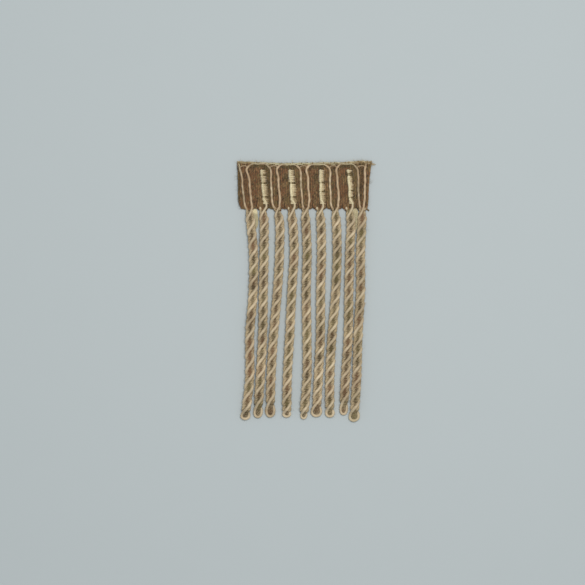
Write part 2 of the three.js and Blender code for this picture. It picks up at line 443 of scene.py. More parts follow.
@dataclass(frozen=True)
class YarnFinish:
    """Spun or wrapped yarn, with its twist and fibres running round it."""

    name: str
    dark: Colour
    light: Colour
    olive: Colour
    reddish: Colour
    lay: float  # length in which its twist goes once round
    turns: float = 2.0  # how many yarns are twisted together
    sheen: float = 0.3
    roughness: float = 0.7
    relief: float = 0.00005  # in metres

    def material(self) -> bpy.types.Material:
        """Makes the yarn's material.

        Returns:
            The material.
        """
        shader = Shader(self.name, Sheen_Weight=self.sheen, Sheen_Roughness=0.4, Specular_IOR_Level=0.35)
        around, along = shader.parts(shader.node("UVMap", {"uv_map": "yarn"}, {}, "UV"))
        ridge = ((around * self.turns + along * (1.0 / self.lay)) * (2 * math.pi)).wave()
        where = shader.node("CombineXYZ", {}, {"X": along * 0.6, "Y": (around + along * 0.5) * 5.0})
        fibre = shader.noise(where, 2.4, 4.0, Roughness=0.65)
        patch = shader.noise(where, 0.35, 2.0)
        tone = shader.attribute("tone")
        grain = ridge * 0.35 + fibre * 0.55 + patch * 0.35 - 0.12
        plain = shader.mix((grain + shader.attribute("shade") * 0.4).clamped(), self.dark, self.light)
        warm = shader.mix((tone * 0.6).clamped(), plain, self.reddish)
        colour = shader.mix((tone * -0.6).clamped(), warm, self.olive)
        height = ridge * 0.7 + fibre * 0.5
        return shader.finish(colour, height, self.relief, fibre * 0.2 + (self.roughness - 0.1))


@dataclass(frozen=True)
class ClothFinish:
    """The tape's plain woven ground, seen between the yarns and on the back."""

    name: str
    dark: Colour
    light: Colour
    pitch: float
    relief: float = 0.00012  # in metres
    roughness: float = 0.75

    def material(self) -> bpy.types.Material:
        """Makes the cloth's material.

        Returns:
            The material.
        """
        shader = Shader(self.name, Sheen_Weight=0.2, Sheen_Roughness=0.5, Specular_IOR_Level=0.3)
        place = shader.node("TexCoord", {}, {}, "Object")
        turn = 2 * math.pi / (self.pitch * MM)
        rib, row = ((part * turn).wave() for part in shader.parts(place))
        fibre = shader.noise(place, 1800.0, 4.0)
        colour = shader.mix((rib * 0.4 + row * 0.25 + fibre * 0.6 - 0.2).clamped(), self.dark, self.light)
        height = rib * 0.6 + row * 0.4 + fibre * 0.3
        return shader.finish(colour, height, self.relief, fibre * 0.15 + self.roughness)


@dataclass(frozen=True)
class Dyes:
    """The yarns' finishes."""

    brown: YarnFinish = YarnFinish(
        "brown_yarn",
        dark=(0.05, 0.028, 0.01, 1), light=(0.27, 0.16, 0.07, 1),
        olive=(0.15, 0.115, 0.04, 1), reddish=(0.19, 0.078, 0.03, 1),
        lay=1.6, sheen=0.2, roughness=0.8,
    )
    core: YarnFinish = YarnFinish(
        "cord_yarn",
        dark=(0.07, 0.047, 0.02, 1), light=(0.495, 0.388, 0.232, 1),
        olive=(0.19, 0.155, 0.055, 1), reddish=(0.21, 0.105, 0.05, 1),
        lay=1.8, sheen=0.25, roughness=0.75, relief=0.00011,
    )
    gimp: YarnFinish = YarnFinish(
        "beige_gimp",
        dark=(0.30, 0.225, 0.13, 1), light=(0.72, 0.59, 0.40, 1),
        olive=(0.54, 0.49, 0.30, 1), reddish=(0.47, 0.31, 0.175, 1),
        lay=0.42, turns=1.0, roughness=0.55,
    )
    cream: YarnFinish = YarnFinish(
        "cream_yarn",
        dark=(0.27, 0.20, 0.10, 1), light=(0.84, 0.73, 0.47, 1),
        olive=(0.50, 0.46, 0.29, 1), reddish=(0.42, 0.28, 0.15, 1),
        lay=0.9, sheen=0.35, roughness=0.55,
    )
    ground: ClothFinish = ClothFinish(
        "tape_ground", dark=(0.04, 0.024, 0.01, 1), light=(0.12, 0.072, 0.034, 1), pitch=1.05)


@dataclass(frozen=True)
class Patch:
    """A soft patch of the heading that is lighter or darker, more reddish or more olive than the rest."""

    x: float
    y: float
    wide: float
    tall: float
    shade: float
    tone: float

    def share(self, x: Points, y: Points) -> Points:
        """How much of the patch there is at places on the heading, from 0 to 1."""
        return np.exp(-(((x - self.x) / self.wide) ** 4) - ((y - self.y) / self.tall) ** 4)


HEADING_PATCHES = (
    # Painted shade along the left end.
    Patch(-38.2, 61.0, 1.2, 13.0, -1.1, -0.9),
    Patch(-34.2, 62.5, 1.3, 9.5, -0.7, 0.3),
    Patch(-30.4, 72.7, 0.8, 0.6, 1.3, -0.3),
    Patch(-28.3, 70.3, 0.5, 0.9, 1.3, 0.0),
    Patch(-21.0, 60.0, 0.8, 11.0, -0.5, -0.6),
    Patch(-25.4, 51.6, 1.3, 3.2, 0.6, -0.8),
    Patch(-17.6, 69.2, 1.3, 1.4, -0.3, 0.9),
    Patch(-11.0, 65.7, 1.5, 2.3, -0.8, -0.8),
    Patch(-11.3, 61.5, 2.0, 1.2, 0.5, -0.5),
    Patch(-10.4, 52.3, 2.2, 2.6, 0.0, -0.8),
    Patch(-4.1, 56.0, 1.1, 2.6, 0.5, 0.5),
    Patch(-0.6, 69.8, 1.4, 1.5, -0.4, 0.9),
    Patch(6.6, 65.5, 1.0, 2.5, -0.8, -0.5),
    Patch(3.7, 59.0, 0.7, 0.9, -1.0, 0.1),
    Patch(12.7, 64.0, 1.1, 8.0, 0.4, 0.1),
    Patch(16.9, 51.4, 1.3, 2.8, 0.3, -0.8),
    Patch(23.0, 64.5, 1.7, 2.4, 0.2, -0.6),
    Patch(22.3, 58.0, 2.0, 3.4, -0.1, 0.9),
    Patch(22.7, 51.2, 2.2, 2.2, 0.5, 0.3),
    Patch(29.3, 63.0, 1.1, 8.0, 0.3, -0.9),
    Patch(33.0, 62.0, 1.2, 10.0, -0.6, 0.2),
    Patch(33.4, 48.3, 1.3, 1.8, 0.1, 1.0),
    Patch(37.6, 71.5, 1.6, 2.4, 0.3, -0.9),
)


class Mottle:
    """Soft unevenness of shade and tone over the heading, made of crossing waves."""

    waves: int = 9
    depth: float = 2.2

    def __init__(self, draws: np.random.Generator) -> None:
        """Draws the waves.

        Args:
            draws: where the unevenness comes from.
        """
        both = (2, self.waves)
        self.starts = draws.uniform(0.0, 2 * math.pi, both)
        self.turns = draws.uniform(0.5, 3.6, both)
        self.leans = draws.uniform(0.0, math.pi, both)

    def level(self, which: int, x: Points, y: Points) -> Points:
        """A smooth uneven value at places on the heading, mostly between -1 and 1.

        Args:
            which: 0 for the shade's waves and 1 for the tone's.
            x: places along the trim.
            y: their heights.

        Returns:
            The value at each place.
        """
        lean = self.leans[which]
        along = x[:, None] * np.cos(lean) + y[:, None] * np.sin(lean)
        return np.sin(along * self.turns[which] + self.starts[which]).mean(axis=-1) * self.depth

    def shade(self, x: Points, y: Points) -> Points:
        """The yarn's shade at places on the heading."""
        return self.level(0, x, y)

    def tone(self, x: Points, y: Points) -> Points:
        """The yarn's tone at places on the heading."""
        return 0.8 * self.level(1, x, y)


@dataclass(frozen=True)
class LooseStrand:
    """Three soft olive yarns that hang loose beside a cord's root, lighter where they bulge at the top."""

    stations: Sequence[Sequence[float]]
    light: float
    step: float = 0.35
    radius: float = 0.44
    bulge: float = 0.2
    dark: float = -0.6

    def lay(self, yarns: YarnMesh) -> None:
        """Lays the yarns in the heading's mesh."""
        for aside, lower in ((-0.75, 0.1), (0.0, 0.0), (0.75, 0.2)):
            route = spline(self.stations, self.step)
            y = route[:, 1]
            bulged = rise(y, 43.6, 2.2)
            shade = blend(self.dark, self.light, bulged) + ripple(y, (0.2, 2.1, aside))
            route[:, 0] += aside * (1.0 + 0.25 * bulged) * rise(y, 34.0, 4.0)
            route[:, 2] -= lower
            yarns.lay(route, self.radius + self.bulge * bulged, 8, shade, -1.1 + 0.5 * bulged, slot=1)


LOOSE_STRANDS = (
    LooseStrand(
        ((-29.1, 47.4, 1.0), (-28.8, 46.3, 1.1), (-28.4, 44.8, 1.1), (-27.9, 42.0, 0.7), (-28.0, 38.6, 0.7),
         (-28.6, 36.2, 0.9)), light=0.85),
    LooseStrand(
        ((28.4, 47.6, 1.0), (29.2, 46.4, 1.1), (29.7, 43.8, 1.0), (29.8, 40.0, 1.4), (29.6, 37.0, 1.5),
         (29.1, 34.2, 1.2)), light=-0.4),
)
TOP_EDGE = Course(
    (-38.95, -32.0, -24.5, -15.0, -3.0, 8.0, 24.0, 35.5, 38.95),
    (74.9, 74.7, 74.3, 73.9, 74.0, 74.2, 74.5, 75.2, 74.9))
END_HEIGHTS = (45.5, 48.5, 52.5, 61.0, 69.5, 75.2)
LEFT_END = Course(END_HEIGHTS, (-36.0, -37.6, -38.2, -38.4, -38.7, -38.95))
RIGHT_END = Course(END_HEIGHTS, (36.2, 36.7, 36.9, 37.2, 38.1, 38.95))
SELVEDGE_SHADES = Course(
    (-39.0, -34.0, -30.5, -26.0, -18.0, 0.0, 12.0, 20.0, 28.0, 31.0, 39.0),
    (-1.1, -0.9, -0.3, 0.3, 0.5, -0.2, -0.3, -0.1, 0.1, -0.1, -0.3))
SELVEDGE_TONES = Course(
    (-39.0, -31.0, -24.0, 10.0, 18.0, 29.0, 39.0),
    (-0.2, -0.3, -1.0, -1.1, -0.7, -0.2, 0.4))


@dataclass
class Heading:
    """The woven tape: its cloth, its upright weft yarns, its binding warp and its top selvedge."""

    roots: Sequence[float]
    marks: Sequence[Patch]
    weft_pitch: float = 1.05
    weft_radius: float = 0.52
    weft_steps: int = 52
    warp_pitch: float = 1.15
    warp_radius: float = 0.15
    warp_low: float = 49.6
    warp_high: float = 73.6
    back: float = 0.02
    thick: float = 1.45
    end_inset: float = 0.003  # share of the width by which the cloth stays inside its yarns
    foot_inset: float = 0.3
    top_inset: float = 0.35
    foot: float = 47.6
    tongue: float = 2.2
    tongue_half: float = 2.6
    gather: float = 0.16
    gather_from: float = 52.0
    gather_over: float = 5.0
    top_fibres: int = 330
    end_fibres: int = 34
    tuft_fibres: int = 9

    @property
    def wefts(self) -> int:
        """How many weft yarns there are."""
        return round(2 * HALF_WIDTH / self.weft_pitch)

    def across(self, share: Points | float, y: Points | float) -> Points:
        """The place along the trim of a share of its width, gathered towards the roots at the foot.

        Args:
            share: how far across the heading, from 0 to 1.
            y: the height.

        Returns:
            The place, in millimetres.
        """
        x = blend(LEFT_END(y), RIGHT_END(y), share)
        pull = self.gather * rise(y, self.gather_from, -self.gather_over)
        return blend(x, self.nearest_root(x), pull)

    def nearest_root(self, x: Points | float) -> Points:
        """The root nearest to a place along the trim."""
        roots = np.asarray(self.roots)
        return roots[np.abs(np.asarray(x, float)[..., None] - roots).argmin(axis=-1)]

    def lower_edge(self, x: Points | float) -> Points:
        """The height of the lower edge, with a tongue at each root and arches between."""
        off = np.abs(x - self.nearest_root(x)) / self.tongue_half
        return self.foot - self.tongue * (1 - np.clip(off, 0, 1) ** 2)

    def ground_tones(self) -> tuple[Points, Points]:
        """How reddish or olive the ground is between the cords.

        Returns:
            Places along the trim, and the tone at each.
        """
        at, tones = [-39.0], [0.5]
        for left, right in zip(self.roots[1::2], self.roots[2::2]):
            at += [left - 5.0, left - 1.5, left + 1.8, right - 2.5, right + 1.5]
            tones += [0.7, 0.2, -0.8, -0.3, 0.1]
        return np.array(at), np.array(tones)

    def cloth(self, material: bpy.types.Material) -> bpy.types.Object:
        """Models the tape's cloth from a grid.

        Args:
            material: the cloth's material.

        Returns:
            The cloth, a thin closed sheet with the heading's outline.
        """
        bpy.ops.object.select_all(action="DESELECT")
        bpy.ops.mesh.primitive_grid_add(x_subdivisions=180, y_subdivisions=14, size=1.0)
        cloth = bpy.context.object
        cloth.name = "heading_cloth"
        grid = np.zeros(len(cloth.data.vertices) * 3, np.float32)
        cloth.data.vertices.foreach_get("co", grid)
        grid = grid.reshape(-1, 3) + 0.5
        share = blend(self.end_inset, 1 - self.end_inset, grid[:, 0])
        low = self.lower_edge(self.across(share, self.foot)) + self.foot_inset
        high = TOP_EDGE(blend(-HALF_WIDTH, HALF_WIDTH, share)) - self.top_inset
        y = blend(low, high, grid[:, 1])
        placed = joined(self.across(share, y), y, self.back + self.thick)
        cloth.data.vertices.foreach_set("co", (placed * MM).astype(np.float32).ravel())
        solid = cloth.modifiers.new("thickness", "SOLIDIFY")
        solid.thickness = self.thick * MM
        solid.offset = -1
        bpy.ops.object.modifier_apply(modifier=solid.name)
        bpy.ops.object.shade_smooth_by_angle(angle=math.radians(50))
        cloth.data.materials.append(material)
        return cloth

    def weave(self, materials: Sequence[bpy.types.Material], draws: np.random.Generator) -> bpy.types.Object:
        """Lays all the heading's yarns.

        Args:
            materials: brown yarn and cream yarn.
            draws: where the unevenness comes from.

        Returns:
            The weave, one mesh.
        """
        yarns = YarnMesh()
        self.lay_wefts(yarns, draws)
        self.lay_warps(yarns, draws)
        self.lay_selvedge(yarns)
        self.fray_top(yarns, draws)
        self.fray_ends(yarns, draws)
        self.lay_corner(yarns, draws)
        for strand in LOOSE_STRANDS:
            strand.lay(yarns)
        return yarns.object("heading_weave", materials)

    def lay_wefts(self, yarns: YarnMesh, draws: np.random.Generator) -> None:
        """Lays the upright yarns, which bow over and under the warp and sink at both ends.

        Args:
            yarns: the mesh that they join.
            draws: where the unevenness comes from.
        """
        mottle = Mottle(draws)
        for number in range(self.wefts):
            share = (number + 0.5) / self.wefts
            low = float(self.lower_edge(self.across(share, self.foot)))
            high = float(TOP_EDGE(blend(-HALF_WIDTH, HALF_WIDTH, share))) - 0.15 + draws.uniform(-0.15, 0.2)
            y = np.linspace(low, high, self.weft_steps)
            x = self.across(share, y) + ripple(y, (0.06, 1.3, draws.uniform(0, 6)))
            bow = 0.14 * np.cos(math.pi * ((y - self.warp_low) / self.warp_pitch + number))
            sunk = 0.9 * rise(y, low + 1.6, -1.6) + 0.7 * rise(y, high - 0.9, 0.9)
            tone = np.interp(x, *self.ground_tones()) + mottle.tone(x, y) + draws.normal(0, 0.25)
            rim = rise(y, high - 1.6, 1.2)
            tone = blend(np.clip(tone, -1, 1), -0.9, rim)
            shade = mottle.shade(x, y) + draws.normal(0.0, 0.3) + 0.8 * rim
            # The marks include painted shade along the left end and under the gimp crowns.
            for mark in self.marks:
                there = mark.share(x, y)
                shade = shade + mark.shade * there
                tone = blend(tone, mark.tone, 0.8 * there)
            route = joined(x, y, FACE_HEIGHT - self.weft_radius + bow - sunk)
            yarns.lay(route, self.weft_radius, 7, shade, tone)

    def lay_warps(self, yarns: YarnMesh, draws: np.random.Generator) -> None:
        """Lays the thin threads that cross the wefts, over one and under the next.

        Args:
            yarns: the mesh that they join.
            draws: where the unevenness comes from.
        """
        share = np.linspace(0.004, 0.996, self.wefts * 4)
        for row, height in enumerate(np.arange(self.warp_low, self.warp_high, self.warp_pitch)):
            sag = (TOP_EDGE(self.across(share, height)) - 74.3) * rise(height, 60, 14)
            y = height + sag + ripple(share, (0.05, 90, row))
            over = -np.cos(math.pi * (share * self.wefts - 0.5 + row))
            z = FACE_HEIGHT - self.weft_radius + (self.weft_radius + 0.06) * over
            shade = draws.normal(0.3, 0.4)
            route = joined(self.across(share, y), y, z)
            yarns.lay(route, self.warp_radius, 5, shade, draws.uniform(-0.8, 0.3))

    def lay_selvedge(self, yarns: YarnMesh) -> None:
        """Lays the two cream yarns that run along the top edge.

        Args:
            yarns: the mesh that they join.
        """
        share = np.linspace(0.002, 0.998, 240)
        x = blend(-HALF_WIDTH, HALF_WIDTH, share)
        for lift, radius, level in ((0.1, 0.4, -0.75), (-0.6, 0.34, -1.1)):
            y = TOP_EDGE(x) - 0.45 + lift + ripple(share, (0.14, 70, lift), (0.1, 31, 0))
            z = 1.66 + ripple(share, (0.2, 75, lift * 3)) - lift * 0.3
            shade = level + SELVEDGE_SHADES(x) + ripple(share, (0.3, 61, 0), (0.4, 143, 0))
            yarns.lay(joined(self.across(share, y), y, z), radius, 7, shade, SELVEDGE_TONES(x), slot=1)

    def fray_top(self, yarns: YarnMesh, draws: np.random.Generator) -> None:
        """Frays the top edge with cream fibres.

        Args:
            yarns: the mesh that they join.
            draws: where their places come from.
        """
        for share in draws.uniform(0.0, 1.0, self.top_fibres):
            x = blend(-HALF_WIDTH, HALF_WIDTH, share)
            start = np.array([x, TOP_EDGE(x) - 0.5, draws.uniform(0.9, 2.0)])
            way = np.array([draws.normal(0.0, 0.5), draws.uniform(0.7, 1.6), draws.normal(0.0, 0.25)])
            yarns.fray(start, way, draws, draws.normal(0.6, 0.3), slot=1)

    def fray_ends(self, yarns: YarnMesh, draws: np.random.Generator) -> None:
        """Frays the two cut ends.

        Args:
            yarns: the mesh that the fibres join.
            draws: where their places come from.
        """
        for side, share in ((-1, 0.0), (1, 1.0)):
            for y in draws.uniform(self.foot, 74.5, self.end_fibres):
                start = np.array([self.across(share, y), y, draws.uniform(0.6, 2.0)])
                out = side * draws.uniform(0.5, 1.5)
                way = np.array([out, draws.normal(0.0, 0.5), draws.normal(0.0, 0.2)])
                yarns.fray(start, way, draws, draws.normal(-0.2, 0.4), slot=draws.integers(0, 2))

    def lay_corner(self, yarns: YarnMesh, draws: np.random.Generator) -> None:
        """Lays the tuft at the upper right corner and the brown thread that has come loose below it.

        Args:
            yarns: the mesh that they join.
            draws: where the tuft's places come from.
        """
        for number in range(self.tuft_fibres):
            start = np.array([37.4 + 0.1 * number, 74.0 - 0.16 * number, 1.5])
            way = (draws.uniform(2.0, 3.8), draws.uniform(-0.6, 0.3), draws.uniform(-1.0, -0.4))
            end = start + np.array(way)
            middle = (start + end) / 2 + draws.normal(0.0, 0.25, 3)
            yarns.lay(spline([start, middle, end], 0.3), draws.uniform(0.07, 0.13), 5, 0.0, 0.7, slot=1)
        thread = ((35.4, 48.4, 1.3), (36.3, 47.2, 1.0), (37.2, 46.5, 0.8))
        yarns.lay(spline(thread, 0.3), 0.42, 7, -0.2, -0.9)


@dataclass
class GimpLines:
    """The gimps on the heading: a line at each end and an arch over each column.

    Their lines run in pairs down to the odd cords. Places and shades are given pair by pair,
    from the top of a line to its foot.
    """

    lefts: Sequence[Sequence[float]] = (
        (-37.3, -36.0, -35.5, -34.8, -34.1),
        (-20.1, -19.3, -19.1, -18.6, -17.9),
        (-3.0, -2.2, -1.8, -1.3, -0.9),
        (14.2, 14.6, 14.9, 15.1, 15.6),
        (30.2, 30.9, 31.1, 31.3, 31.9),
    )
    rights: Sequence[Sequence[float]] = (
        (-33.0, -32.0, -31.3, -30.8, -30.2),
        (-15.6, -15.1, -14.7, -14.2, -14.3),
        (1.5, 2.0, 2.3, 2.7, 2.4),
        (18.7, 18.9, 19.4, 19.6, 19.4),
        (35.0, 34.8, 34.8, 34.4, 34.1),
    )
    heights: Sequence[float] = (71.0, 64.8, 58.4, 52.1, 48.9)
    crowns: Sequence[float] = (73.3, 72.9, 72.9, 73.3)
    end_top: float = 73.6
    face: float = FACE_HEIGHT + 0.58
    shoulder: float = 2.6
    step: float = 0.4
    left_radius: float = 0.56
    right_radius: float = 0.63
    crown_radius: float = 0.36
    link_radius: float = 0.3
    # They hold the yarns' own unevenness and painted shade that keeps most left lines dimmer than their right
    # partners.
    left_shades: Sequence[Sequence[float]] = (
        (-1.0, -0.8), (-0.9, 0.3), (-0.4, -0.5), (0.0, 0.3), (-1.3, -1.4))
    right_shades: Sequence[Sequence[float]] = (
        (-0.8, -0.5), (-0.4, 0.2), (0.3, 0.3), (-0.9, 0.4), (0.0, -0.1))
    tone: float = 0.9

    def foot(self, pair: int, right: bool) -> Points:
        """The last stretch of a line of a pair, at the heading's foot.

        Args:
            pair: the pair's number from the left.
            right: whether it is the pair's right line.

        Returns:
            Its two stations, from the top down.
        """
        xs = (self.rights if right else self.lefts)[pair]
        slope = (xs[-2] - xs[-1]) / (self.heights[-2] - self.heights[-1])
        low = self.heights[-1]
        return np.array([(xs[-1] + self.step * slope, low + self.step, self.face), (xs[-1], low, self.face)])

    def line(self, xs: Sequence[float]) -> Points:
        """The stations of one line, from its top to its foot."""
        return joined(xs, self.heights, self.face)

    def end_line(self, xs: Sequence[float], aside: float) -> Points:
        """The stations of a line at an end of the heading, from the top edge down."""
        return np.concatenate([[(xs[0] + aside, self.end_top, self.face - 0.3)], self.line(xs)])

    def arch(self, number: int) -> Points:
        """The stations of a gimp that comes up a pair, arches over a column and goes down the next pair.

        Args:
            number: the arch's number from the left.

        Returns:
            The stations from left to right.
        """
        up, down = self.rights[number], self.lefts[number + 1]
        over = (up[0] + self.shoulder, (up[0] + down[0]) / 2, down[0] - self.shoulder)
        crown = joined(over, self.crowns[number], self.face - 0.1)
        return np.concatenate([self.line(up)[::-1], crown, self.line(down)])

    def link(self, pair: int) -> Points:
        """The stations of the small bridge between the tops of a pair's two lines.

        Args:
            pair: the pair's number from the left.

        Returns:
            The stations from left to right.
        """
        left, right = self.lefts[pair][0], self.rights[pair][0]
        low, high = self.heights[0] + 0.2, self.heights[0] + 1.3
        return np.array([
            (left + 0.1, low, self.face - 0.35),
            (left + 0.9, high - 0.3, self.face - 0.4),
            ((left + right) / 2, high, self.face - 0.4),
            (right - 0.7, high - 0.2, self.face - 0.4),
            (right - 0.1, low, self.face - 0.35),
        ])

    def stations(self, number: int) -> Points:
        """The stations of a gimp by its number: the left line, the arches and the right line.

        Args:
            number: the gimp's number from the left.

        Returns:
            The stations from left to right or from the top down.
        """
        if number == 0:
            return self.end_line(self.lefts[0], -0.4)
        if number == len(self.lefts):
            return self.end_line(self.rights[-1], 0.6)
        return self.arch(number - 1)

    def crown_shadows_and_link_patches(self) -> list[Patch]:
        """Painted shadows on the ground under each crown, and dark patches of the ground over each link.

        Returns:
            The patches.
        """
        found = []
        for number, crown in enumerate(self.crowns):
            up, left, right = self.rights[number][0], self.lefts[number + 1][0], self.rights[number + 1][0]
            found.append(Patch((up + left) / 2, crown - 1.25, 4.6, 0.8, -1.3, -0.9))
            found.append(Patch((left + right) / 2, crown, 1.7, 0.55, -1.2, -0.9))
        return found

    def pieces(self, material: bpy.types.Material, draws: np.random.Generator) -> dict[str, bpy.types.Object]:
        """Lays the gimps.

        Args:
            material: the gimp's material.
            draws: where the unevenness comes from.

        Returns:
            The pieces by the name of the solid that each stands for.
        """
        arches = [f"gimp_arch_{number + 1}" for number in range(len(self.crowns))]
        names = ["gimp_line_left", *arches, "gimp_line_right"]
        return {name: self.piece(number, name, material, draws) for number, name in enumerate(names)}

    def piece(
        self, number: int, name: str, material: bpy.types.Material, draws: np.random.Generator
    ) -> bpy.types.Object:
        """Lays one gimp, with the link over the pair to its right.

        Args:
            number: its number from the left.
            name: the name of its solid.
            material: the gimp's material.
            draws: where the unevenness comes from.

        Returns:
            The piece.
        """
        yarns = YarnMesh()
        route = spline(self.stations(number), self.step)
        length = np.arange(len(route)) * self.step
        starts = draws.uniform(0, 6, 3)
        route[:, 0] += ripple(length, (0.12, 0.55, starts[0]), (0.05, 1.4, starts[2]))
        route[:, 2] += ripple(length, (0.08, 0.9, starts[1]))
        x, y = route[:, 0], route[:, 1]
        middle = (x[0] + x[-1]) / 2
        is_arch = 0 < number < len(self.lefts)
        rightward = rise(x, middle - 3, 6) if is_arch else float(number == 0)
        crown = rise(y, self.heights[0] + 0.6, 1.2)
        radius = blend(blend(self.right_radius, self.left_radius, rightward), self.crown_radius, crown)
        down = (self.heights[0] - y) / (self.heights[0] - self.heights[-1])
        right_shade = np.interp(down, (0, 1), self.right_shades[max(number - 1, 0)])
        left_shade = np.interp(down, (0, 1), self.left_shades[min(number, len(self.lefts) - 1)])
        # Painted shade: the crown's middle sinks under the weave and is painted darker and more olive there.
        hidden_at = middle - (4.2 if number == 1 else 1.2)
        hidden = crown * np.exp(-(((x - hidden_at) / 3.6) ** 4))
        route[:, 2] -= 0.75 * hidden
        shade = blend(right_shade, left_shade, rightward) - 1.7 * hidden
        shade = shade + ripple(length, (0.45, 0.7, starts[0]), (0.45, 1.9, starts[1]))
        tone = self.tone - 0.5 * rightward * (1 + ripple(length, (1.0, 0.4, starts[2]))) - 1.6 * hidden
        yarns.lay(route, radius * (1 + ripple(length, (0.1, 1.6, starts[2]))), 10, shade, tone)
        if number < len(self.lefts):
            yarns.lay(spline(self.link(number), self.step), self.link_radius, 8, -2.0, 0.6)
        return yarns.object(name + "_gimp", [material])


@dataclass
class Column:
    """A cream column: an upright strand bound down in ribs, with rib yarns that run off to its right."""

    number: int
    places: Sequence[float]  # of its foot, middle and top along the trim
    pinches: Sequence[float]  # heights at which a dark thread binds it, from the top down
    tightness: Sequence[float]  # how deep each of them draws in
    lights: Sequence[float]  # its shade between two of them, from the top down
    wrapped_above: float  # height above which the ribs go all the way round
    wrap: float  # reach of those ribs to each side
    reach: float  # reach of the others to the right
    foot_x: float  # where its strand runs on to the cord below
    heights: Sequence[float] = (49.9, 60.1, 70.1)
    strand_radius: float = 0.84
    strand_foot_radius: float = 0.62
    strand_aside: float = -0.6
    strand_step: float = 0.17
    run_out: float = 3.4
    rib_radius: float = 0.53
    rib_pitch: float = 1.16
    rib_clearance: float = 0.55
    pad_radius: float = 0.78
    binding_half: float = 1.9

    def centre(self, y: Points | float) -> Points:
        """The column's middle along the trim, by height."""
        return Course(self.heights, self.places)(y)

    def light(self, y: Points | float) -> Points:
        """The shade of the stretch between two pinches, by height."""
        stretch = np.searchsorted(-np.asarray(self.pinches), -np.asarray(y, float))
        return np.asarray(self.lights)[stretch]

    def piece(self, materials: Sequence[bpy.types.Material], draws: np.random.Generator) -> bpy.types.Object:
        """Lays the column's strand, its pad, its rib yarns and the dark threads that bind it.

        Args:
            materials: cream yarn and brown yarn.
            draws: where the unevenness comes from.

        Returns:
            The column.
        """
        yarns = YarnMesh()
        ribs = np.arange(self.heights[0] + 0.3, self.heights[-1] - 0.2, self.rib_pitch)
        ribs = ribs + draws.normal(0, 0.07, len(ribs))
        self.lay_strand(yarns, ribs, draws)
        self.lay_pad(yarns)
        for rib in ribs:
            self.lay_rib(yarns, rib + 0.5 * self.rib_pitch, float(self.light(rib)), draws)
        for pinch, tight in zip(self.pinches, self.tightness):
            share = np.linspace(-1, 1, 13)
            x = self.centre(pinch) + 0.1 + share * self.binding_half
            z = FACE_HEIGHT - 0.1 + (0.55 + 0.3 * tight) * np.sqrt(np.clip(1 - share**4, 0, 1))
            yarns.lay(joined(x, pinch + 0.15 * share, z), 0.2 + 0.14 * tight, 7, -0.9, -0.9, slot=1)
        return yarns.object(f"cream_column_{self.number}_yarn", materials)

    def lay_rib(self, yarns: YarnMesh, height: float, light: float, draws: np.random.Generator) -> None:
        """Lays one rib yarn, unless a dark thread takes its place.

        Args:
            yarns: the mesh that it joins.
            height: its height.
            light: the shade of its stretch of the column.
            draws: where the unevenness comes from.
        """
        share = np.linspace(0, 1, 12)
        is_wrapped = height > self.wrapped_above
        start, end = (-self.wrap, self.wrap) if is_wrapped else (-0.9, self.reach)
        start, end = start + draws.normal(0, 0.1), end + draws.normal(0, 0.2)
        x = self.centre(height) + blend(start, end, share)
        y = height + draws.normal(0, 0.1) * share
        if is_wrapped:
            z = FACE_HEIGHT - 0.2 + 1.15 * np.sin(math.pi * share) ** 0.6
            # Painted light and shade: a wrapped rib is lightest just left of its crest and darker where it
            # turns down at each side.
            shade = light + 0.1 - 2.6 * (share - 0.38) ** 2 + draws.normal(0, 0.25)
            size = 1.04 + draws.normal(0, 0.06) - 0.25 * (2 * share - 1) ** 2
        else:
            z = FACE_HEIGHT + 0.42 + 0.25 * np.sin(math.pi * share) - 1.05 * share**3
            # Painted shade: a rib darkens as it runs down into the ground on its right, and its tone grows
            # browner there.
            shade = light - 0.5 - 0.9 * share**1.5 + draws.normal(0, 0.3)
            size = 1 + draws.normal(0, 0.06) - 0.25 * share**2
        if all(abs(height - pinch) > self.rib_clearance for pinch in self.pinches):
            yarns.lay(joined(x, y, z), self.rib_radius * size, 8, shade, 0.6 * share)

    def lay_pad(self, yarns: YarnMesh) -> None:
        """Lays the padding yarn under the ribs.

        Args:
            yarns: the mesh that it joins.
        """
        foot = self.heights[0] + 0.8
        y = np.arange(self.heights[-1] - 0.5, foot, -0.4)
        deep = near(y, self.pinches, 0.45).sum(axis=1)
        radius = self.pad_radius * (1 - 0.45 * deep) * (0.6 + 0.4 * rise(y, foot, 2.0))
        route = joined(self.centre(y) + 0.2 * self.reach, y, FACE_HEIGHT + 0.05)
        # Painted shade: the pad under the ribs is darker than its stretch of the column, and darker still at
        # the pinches.
        yarns.lay(route, radius, 8, self.light(y) - 1.3 - deep, 0.4)

    def lay_strand(self, yarns: YarnMesh, ribs: Points, draws: np.random.Generator) -> None:
        """Lays the upright strand, which narrows at its foot and runs on to the cord below.

        Args:
            yarns: the mesh that it joins.
            ribs: the heights at which it is bound.
            draws: where the unevenness comes from.
        """
        low, high = self.heights[0], self.heights[-1]
        y = np.arange(high, low, -self.strand_step)
        run_out = rise(y, low + self.run_out, -self.run_out)
        nip = near(y, ribs, 0.2).sum(axis=1) * (1 - run_out)
        deep = (near(y, self.pinches, 0.4) * np.asarray(self.tightness)).sum(axis=1) * (1 - 0.5 * run_out)
        swell = (1 - 0.13 * nip) * (1 - 0.5 * deep) * (0.55 + 0.45 * rise(y, high, -0.8))
        radius = blend(self.strand_radius * swell, self.strand_foot_radius, run_out)
        aside = self.strand_aside * (1 - run_out) + ripple(y, (0.12, 0.8, self.number))
        x = blend(self.centre(y) + aside, self.foot_x, run_out)
        z = FACE_HEIGHT + 0.75 - 0.1 * nip - 0.5 * deep - 0.2 * run_out - 0.7 * rise(y, high - 0.8, 0.8)
